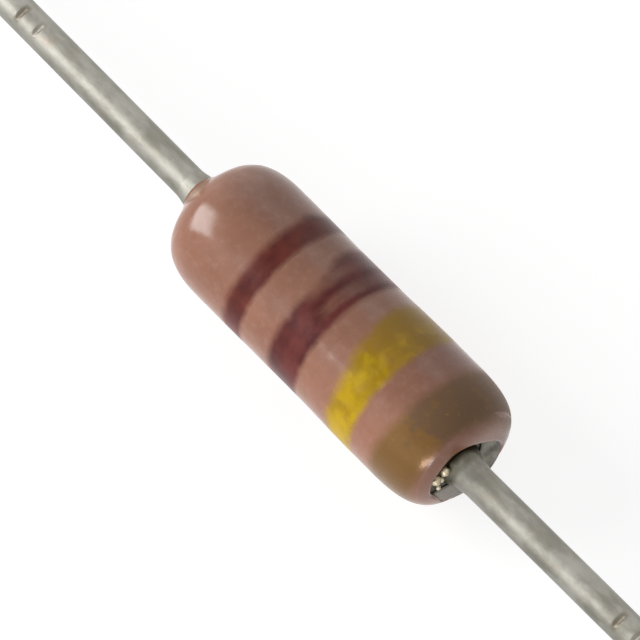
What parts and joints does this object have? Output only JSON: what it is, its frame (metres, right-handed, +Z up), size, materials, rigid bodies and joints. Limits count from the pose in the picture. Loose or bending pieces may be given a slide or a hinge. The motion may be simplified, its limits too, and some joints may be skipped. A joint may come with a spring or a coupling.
{
  "type": "axial resistor",
  "caption": "Axial-lead film resistor: round lacquered body with painted colour bands and a straight wire lead at each end, limiting current in a circuit.",
  "frame": {"origin": "middle of the part's box, on the body's axis halfway between the ends of its coat", "axes": "+X along the body towards the end where the cap shows round the lead, +Z up, with the camera above and in front"},
  "size_m": [0.0622, 0.0024, 0.0024],
  "materials": {
    "lacquer": "satin lacquer, pinkish brown",
    "brown_paint": "thin dark red-brown paint",
    "yellow_paint": "thin yellow paint, patchy",
    "gold_paint": "metallic gold-brown paint",
    "tinned_wire": "dull tinned wire",
    "cap_metal": "plated pressed cap",
    "weld_metal": "bright fused metal",
    "ceramic": "matt unglazed ceramic",
    "film": "dark matt film"
  },
  "bodies": {
    "root": {"ceramic_rod": "ceramic", "resistive_film": "film", "end_cap_near": "cap_metal", "end_cap_far": "cap_metal", "weld_near": "weld_metal", "weld_far": "weld_metal", "lead_near": "tinned_wire", "lead_far": "tinned_wire", "lacquer_coat": "lacquer", "first_band": "brown_paint", "second_band": "brown_paint", "third_band": "yellow_paint", "tolerance_band": "gold_paint"}
  },
  "joints": []
}
